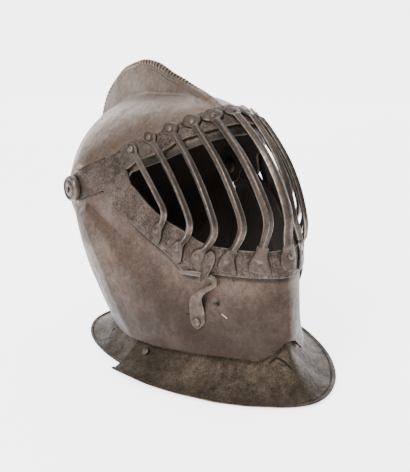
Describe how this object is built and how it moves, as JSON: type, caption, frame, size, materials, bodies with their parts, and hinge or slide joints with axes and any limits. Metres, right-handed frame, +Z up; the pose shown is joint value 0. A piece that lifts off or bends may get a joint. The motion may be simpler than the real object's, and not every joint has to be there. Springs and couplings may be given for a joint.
{
  "type": "barred-visor close helmet",
  "caption": "Hinged close helmet of aged steel: combed skull, keeled bevor, barred visor with side catches, and flared gorget plates.",
  "frame": {"origin": "middle of the footprint, at the height of the rims it stands on", "axes": "+Z up, face towards -Y, the wearer's right towards -X; the visor and the bevor turn about an axis along X"},
  "size_m": [0.216, 0.3576, 0.274],
  "materials": {
    "skull": "aged steel, worn smooth, brown-grey with fine pitting",
    "bevor": "aged steel, brown-grey patina, darker to the chin, scratched",
    "gorget": "aged steel, rough brown patina, pitted, dented",
    "visor": "aged steel, coarsely pitted",
    "bars": "forged steel, dark with worn bright edges",
    "rivets": "forged steel, dark in the recesses",
    "catch": "forged steel, worn"
  },
  "bodies": {
    "shell": {"skull": "skull", "rear_gorget_plate": "gorget", "pivot_rivet_right": "rivets", "pivot_rivet_left": "rivets"},
    "chin": {"bevor": "bevor", "front_gorget_plate": "gorget", "gorget_rivet_right": "rivets", "gorget_rivet_left": "rivets", "catch_rivet_right": "rivets", "catch_rivet_left": "rivets"},
    "visor": {"visor_frame": "visor", "visor_arm_right": "visor", "visor_arm_left": "visor", "visor_tab_right": "visor", "visor_tab_left": "visor", "bar_1": "bars", "bar_2": "bars", "bar_3": "bars", "bar_4": "bars", "bar_5": "bars", "bar_6": "bars", "bar_7": "bars", "bar_8": "bars", "bar_9": "bars", "bar_10": "bars", "bar_11": "bars"},
    "catch_right": {"catch_hook_right": "catch"},
    "catch_left": {"catch_hook_left": "catch"}
  },
  "joints": [
    {"name": "chin_hinge", "type": "hinge", "parent": "shell", "child": "chin", "pos_m": [0, 0.06425, 0.15995], "axis": [-1, 0, 0], "range_deg": [0, 35]},
    {"name": "visor_hinge", "type": "hinge", "parent": "chin", "child": "visor", "pos_m": [0, 0.06425, 0.15995], "axis": [-1, 0, 0], "range_deg": [0, 55]},
    {"name": "catch_right_hinge", "type": "hinge", "parent": "chin", "child": "catch_right", "pos_m": [-0.05353, -0.08074, 0.05994], "axis": [0.8394, 0.5063, -0.1979], "range_deg": [0, 35]},
    {"name": "catch_left_hinge", "type": "hinge", "parent": "chin", "child": "catch_left", "pos_m": [0.05353, -0.08074, 0.05994], "axis": [0.8394, -0.5063, 0.1979], "range_deg": [0, 35]}
  ]
}
